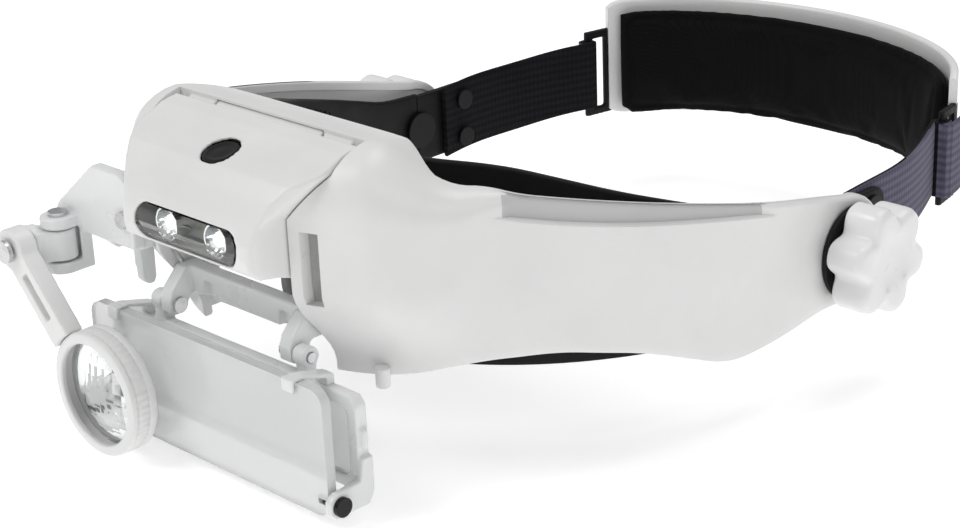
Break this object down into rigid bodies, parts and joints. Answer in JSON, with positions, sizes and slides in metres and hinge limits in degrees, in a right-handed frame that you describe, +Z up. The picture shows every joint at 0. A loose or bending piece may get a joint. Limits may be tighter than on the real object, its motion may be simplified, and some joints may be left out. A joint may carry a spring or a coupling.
{
  "type": "head visor magnifier",
  "caption": "Head-worn magnifier: padded brow band and webbing, tilting visor with a lamp, hinged lens plates and a swing loupe.",
  "frame": {"origin": "midway between the two side knobs, on their common axis, where the band sits over the wearer's ears", "axes": "+X to the wearer's left, -Y the way the wearer looks, +Z up"},
  "size_m": [0.193, 0.2686, 0.085],
  "materials": {
    "white_plastic": "satin off-white injection moulding",
    "clear_white": "fine-textured off-white moulding",
    "black_plastic": "matt black moulding",
    "foam": "fabric-faced foam, black",
    "webbing": "ribbed elastic webbing",
    "steel": "zinc plated",
    "rubber": "matt",
    "lens": "clear optical acrylic",
    "window": "clear polycarbonate",
    "reflector": "vacuum metallised",
    "led": "epoxy dome",
    "board": "solder mask",
    "cell": "printed sleeve without any mark"
  },
  "bodies": {
    "headband": {"brow_band": "black_plastic", "brow_pad": "foam", "pivot_bolts": "steel", "friction_washers": "rubber", "strap_left": "webbing", "strap_right": "webbing", "strap_rivets": "black_plastic"},
    "rear_cradle": {"rear_shell": "white_plastic", "rear_pad": "foam", "strap_loop_left": "black_plastic", "strap_loop_right": "black_plastic"},
    "visor": {"visor_shell": "white_plastic", "knob_washers": "rubber", "lamp_hinge_pin": "steel", "lens_bracket": "clear_white", "bracket_screws": "steel", "lens_hinge_pins": "steel", "loupe_bracket": "clear_white", "loupe_bracket_screw": "steel", "loupe_bar_pin": "steel"},
    "left_knob": {"knob_left": "white_plastic"},
    "right_knob": {"knob_right": "white_plastic"},
    "lamp": {"lamp_housing": "white_plastic", "lamp_window": "window", "reflectors": "reflector", "leds": "led", "led_board": "board", "switch_body": "black_plastic", "battery_cells": "cell", "battery_contacts": "steel"},
    "lamp_door": {"battery_door": "white_plastic"},
    "lamp_button": {"push_button": "rubber"},
    "lens_unit": {"rear_lens_frame": "clear_white", "rear_lens": "lens", "lens_clips": "clear_white", "front_lens_screws": "black_plastic", "front_lens": "lens"},
    "loupe_arm": {"loupe_bar": "clear_white", "loupe_joint_screw": "steel"},
    "loupe_head": {"loupe_link": "white_plastic", "loupe_ring": "white_plastic", "loupe_lens": "lens", "loupe_retainer": "clear_white"}
  },
  "joints": [
    {"name": "visor_tilt", "type": "hinge", "parent": "headband", "child": "visor", "pos_m": [0, 0, 0], "axis": [-1, 0, 0], "range_deg": [-5, 60]},
    {"name": "knob_left_turn", "type": "hinge", "parent": "headband", "child": "left_knob", "pos_m": [0.088, 0, 0], "axis": [1, 0, 0], "continuous": true},
    {"name": "knob_right_turn", "type": "hinge", "parent": "headband", "child": "right_knob", "pos_m": [-0.088, 0, 0], "axis": [-1, 0, 0], "continuous": true},
    {"name": "strap_adjust", "type": "slide", "parent": "headband", "child": "rear_cradle", "axis": [0, 1, 0], "range_m": [-0.025, 0], "deforming": ["strap_left", "strap_right"]},
    {"name": "lamp_tilt", "type": "hinge", "parent": "visor", "child": "lamp", "pos_m": [0, -0.1185, 0.0486], "axis": [-1, 0, 0], "range_deg": [0, 35]},
    {"name": "battery_door_open", "type": "hinge", "parent": "lamp", "child": "lamp_door", "pos_m": [0, -0.122, 0.0211], "axis": [1, 0, 0], "range_deg": [0, 80]},
    {"name": "button_press", "type": "slide", "parent": "lamp", "child": "lamp_button", "axis": [0, 0.2588, -0.9659], "range_m": [0, 0.0012], "stiffness_N_per_m": 600, "springref_m": -0.0008},
    {"name": "lens_tilt", "type": "hinge", "parent": "visor", "child": "lens_unit", "pos_m": [0, -0.136, 0.002], "axis": [1, 0, 0], "range_deg": [-4, 35]},
    {"name": "loupe_swing", "type": "hinge", "parent": "visor", "child": "loupe_arm", "pos_m": [-0.054, -0.146, 0.0135], "axis": [0, 0, -1], "range_deg": [0, 40]},
    {"name": "loupe_lift", "type": "hinge", "parent": "loupe_arm", "child": "loupe_head", "pos_m": [-0.058, -0.156, 0.014], "axis": [0, 1, 0], "range_deg": [0, 130]}
  ]
}
